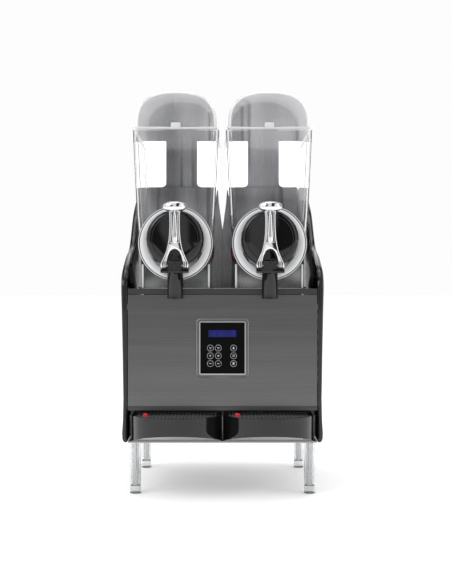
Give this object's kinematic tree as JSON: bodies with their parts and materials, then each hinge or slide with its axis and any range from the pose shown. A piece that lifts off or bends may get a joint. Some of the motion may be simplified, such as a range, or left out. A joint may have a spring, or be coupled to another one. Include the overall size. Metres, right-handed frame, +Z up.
{
  "type": "slushie machine",
  "caption": "Counter-top frozen drink machine with side-by-side clear bowls, augers, pull taps, drip trays, keypad and clear legs.",
  "frame": {"origin": "on the ground under the middle of the machine's outer box", "axes": "+Z up, -Y towards the person at the taps, +X to that person's right"},
  "size_m": [0.4, 0.54, 0.832],
  "materials": {
    "dark_brushed_steel": "brushed, dark",
    "stainless_steel": "satin",
    "chrome": "polished",
    "black_plastic": "satin",
    "gloss_black_plastic": "high gloss",
    "smoke_grey_plastic": "satin",
    "clear_plastic": "clear, glossy",
    "white_plastic": "satin",
    "red_rubber": "matte",
    "circuit_board": "satin",
    "aluminium": "satin",
    "painted_can": "gloss black paint"
  },
  "bodies": {
    "root": {"base_frame": "black_plastic", "front_panel": "dark_brushed_steel", "top_deck": "black_plastic", "rear_grille": "black_plastic", "power_inlet": "black_plastic", "keypad_housing": "gloss_black_plastic", "display_window": "clear_plastic", "control_board": "circuit_board", "compressor": "painted_can", "condenser": "aluminium", "fan_motor": "aluminium", "side_panel_left": "black_plastic", "leg_front_left": "clear_plastic", "leg_rear_left": "clear_plastic", "evaporator_drum_left": "stainless_steel", "bowl_gasket_left": "red_rubber", "gearmotor_left": "aluminium", "rear_tower_left": "black_plastic", "rear_column_left": "smoke_grey_plastic", "side_panel_right": "black_plastic", "leg_front_right": "clear_plastic", "leg_rear_right": "clear_plastic", "evaporator_drum_right": "stainless_steel", "bowl_gasket_right": "red_rubber", "gearmotor_right": "aluminium", "rear_tower_right": "black_plastic", "rear_column_right": "smoke_grey_plastic"},
    "bowl_left_body": {"bowl_left": "clear_plastic", "tap_body_left": "gloss_black_plastic", "tap_pin_left": "stainless_steel", "tap_spring_left": "stainless_steel"},
    "lid_left_body": {"lid_left": "clear_plastic"},
    "lever_left_body": {"tap_lever_left": "chrome"},
    "piston_left_body": {"tap_piston_left": "white_plastic"},
    "auger_left_body": {"auger_left": "white_plastic"},
    "tray_left_body": {"drip_tray_left": "gloss_black_plastic"},
    "grid_left_body": {"drip_grid_left": "black_plastic"},
    "float_left_body": {"float_indicator_left": "red_rubber"},
    "bowl_right_body": {"bowl_right": "clear_plastic", "tap_body_right": "gloss_black_plastic", "tap_pin_right": "stainless_steel", "tap_spring_right": "stainless_steel"},
    "lid_right_body": {"lid_right": "clear_plastic"},
    "lever_right_body": {"tap_lever_right": "chrome"},
    "piston_right_body": {"tap_piston_right": "white_plastic"},
    "auger_right_body": {"auger_right": "white_plastic"},
    "tray_right_body": {"drip_tray_right": "gloss_black_plastic"},
    "grid_right_body": {"drip_grid_right": "black_plastic"},
    "float_right_body": {"float_indicator_right": "red_rubber"},
    "fan_body": {"fan": "black_plastic"},
    "key_1_body": {"key_1": "gloss_black_plastic"},
    "key_2_body": {"key_2": "gloss_black_plastic"},
    "key_3_body": {"key_3": "gloss_black_plastic"},
    "key_4_body": {"key_4": "gloss_black_plastic"},
    "key_5_body": {"key_5": "gloss_black_plastic"},
    "key_6_body": {"key_6": "gloss_black_plastic"},
    "key_7_body": {"key_7": "gloss_black_plastic"},
    "key_8_body": {"key_8": "gloss_black_plastic"},
    "key_9_body": {"key_9": "gloss_black_plastic"}
  },
  "joints": [
    {"name": "bowl_pull_left", "type": "slide", "parent": "root", "child": "bowl_left_body", "axis": [0, -1, 0], "range_m": [0, 0.34]},
    {"name": "lid_lift_left", "type": "slide", "parent": "bowl_left_body", "child": "lid_left_body", "axis": [0, 0, 1], "range_m": [0, 0.12]},
    {"name": "tap_lever_turn_left", "type": "hinge", "parent": "bowl_left_body", "child": "lever_left_body", "pos_m": [-0.0925, -0.235, 0.452], "axis": [1, 0, 0], "range_deg": [0, 35], "stiffness_Nm_per_rad": 0.4, "springref_deg": -28.65},
    {"name": "tap_piston_lift_left", "type": "slide", "parent": "bowl_left_body", "child": "piston_left_body", "axis": [0, 0, 1], "range_m": [0, 0.0225], "deforming": ["tap_spring_left"]},
    {"name": "auger_spin_left", "type": "hinge", "parent": "root", "child": "auger_left_body", "pos_m": [-0.0925, 0, 0.497], "axis": [0, 1, 0], "continuous": true},
    {"name": "tray_pull_left", "type": "slide", "parent": "root", "child": "tray_left_body", "axis": [0, -1, 0], "range_m": [0, 0.12]},
    {"name": "grid_lift_left", "type": "slide", "parent": "tray_left_body", "child": "grid_left_body", "axis": [0, 0, 1], "range_m": [0, 0.009]},
    {"name": "float_rise_left", "type": "slide", "parent": "tray_left_body", "child": "float_left_body", "axis": [0, 0, 1], "range_m": [0, 0.008]},
    {"name": "bowl_pull_right", "type": "slide", "parent": "root", "child": "bowl_right_body", "axis": [0, -1, 0], "range_m": [0, 0.34]},
    {"name": "lid_lift_right", "type": "slide", "parent": "bowl_right_body", "child": "lid_right_body", "axis": [0, 0, 1], "range_m": [0, 0.12]},
    {"name": "tap_lever_turn_right", "type": "hinge", "parent": "bowl_right_body", "child": "lever_right_body", "pos_m": [0.0925, -0.235, 0.452], "axis": [1, 0, 0], "range_deg": [0, 35], "stiffness_Nm_per_rad": 0.4, "springref_deg": -28.65},
    {"name": "tap_piston_lift_right", "type": "slide", "parent": "bowl_right_body", "child": "piston_right_body", "axis": [0, 0, 1], "range_m": [0, 0.0225], "deforming": ["tap_spring_right"]},
    {"name": "auger_spin_right", "type": "hinge", "parent": "root", "child": "auger_right_body", "pos_m": [0.0925, 0, 0.497], "axis": [0, 1, 0], "continuous": true},
    {"name": "tray_pull_right", "type": "slide", "parent": "root", "child": "tray_right_body", "axis": [0, -1, 0], "range_m": [0, 0.12]},
    {"name": "grid_lift_right", "type": "slide", "parent": "tray_right_body", "child": "grid_right_body", "axis": [0, 0, 1], "range_m": [0, 0.009]},
    {"name": "float_rise_right", "type": "slide", "parent": "tray_right_body", "child": "float_right_body", "axis": [0, 0, 1], "range_m": [0, 0.008]},
    {"name": "fan_spin", "type": "hinge", "parent": "root", "child": "fan_body", "pos_m": [0.07, 0.208, 0.245], "axis": [0, 1, 0], "continuous": true},
    {"name": "key_1_press", "type": "slide", "parent": "root", "child": "key_1_body", "axis": [0, 1, 0], "range_m": [0, 0.0005], "stiffness_N_per_m": 500},
    {"name": "key_2_press", "type": "slide", "parent": "root", "child": "key_2_body", "axis": [0, 1, 0], "range_m": [0, 0.0005], "stiffness_N_per_m": 500},
    {"name": "key_3_press", "type": "slide", "parent": "root", "child": "key_3_body", "axis": [0, 1, 0], "range_m": [0, 0.0005], "stiffness_N_per_m": 500},
    {"name": "key_4_press", "type": "slide", "parent": "root", "child": "key_4_body", "axis": [0, 1, 0], "range_m": [0, 0.0005], "stiffness_N_per_m": 500},
    {"name": "key_5_press", "type": "slide", "parent": "root", "child": "key_5_body", "axis": [0, 1, 0], "range_m": [0, 0.0005], "stiffness_N_per_m": 500},
    {"name": "key_6_press", "type": "slide", "parent": "root", "child": "key_6_body", "axis": [0, 1, 0], "range_m": [0, 0.0005], "stiffness_N_per_m": 500},
    {"name": "key_7_press", "type": "slide", "parent": "root", "child": "key_7_body", "axis": [0, 1, 0], "range_m": [0, 0.0005], "stiffness_N_per_m": 500},
    {"name": "key_8_press", "type": "slide", "parent": "root", "child": "key_8_body", "axis": [0, 1, 0], "range_m": [0, 0.0005], "stiffness_N_per_m": 500},
    {"name": "key_9_press", "type": "slide", "parent": "root", "child": "key_9_body", "axis": [0, 1, 0], "range_m": [0, 0.0005], "stiffness_N_per_m": 500}
  ],
  "couplings": [
    {"joint": "tap_piston_lift_left", "follows": "tap_lever_turn_left", "m_per_rad": 0.036},
    {"joint": "tap_piston_lift_right", "follows": "tap_lever_turn_right", "m_per_rad": 0.036}
  ]
}
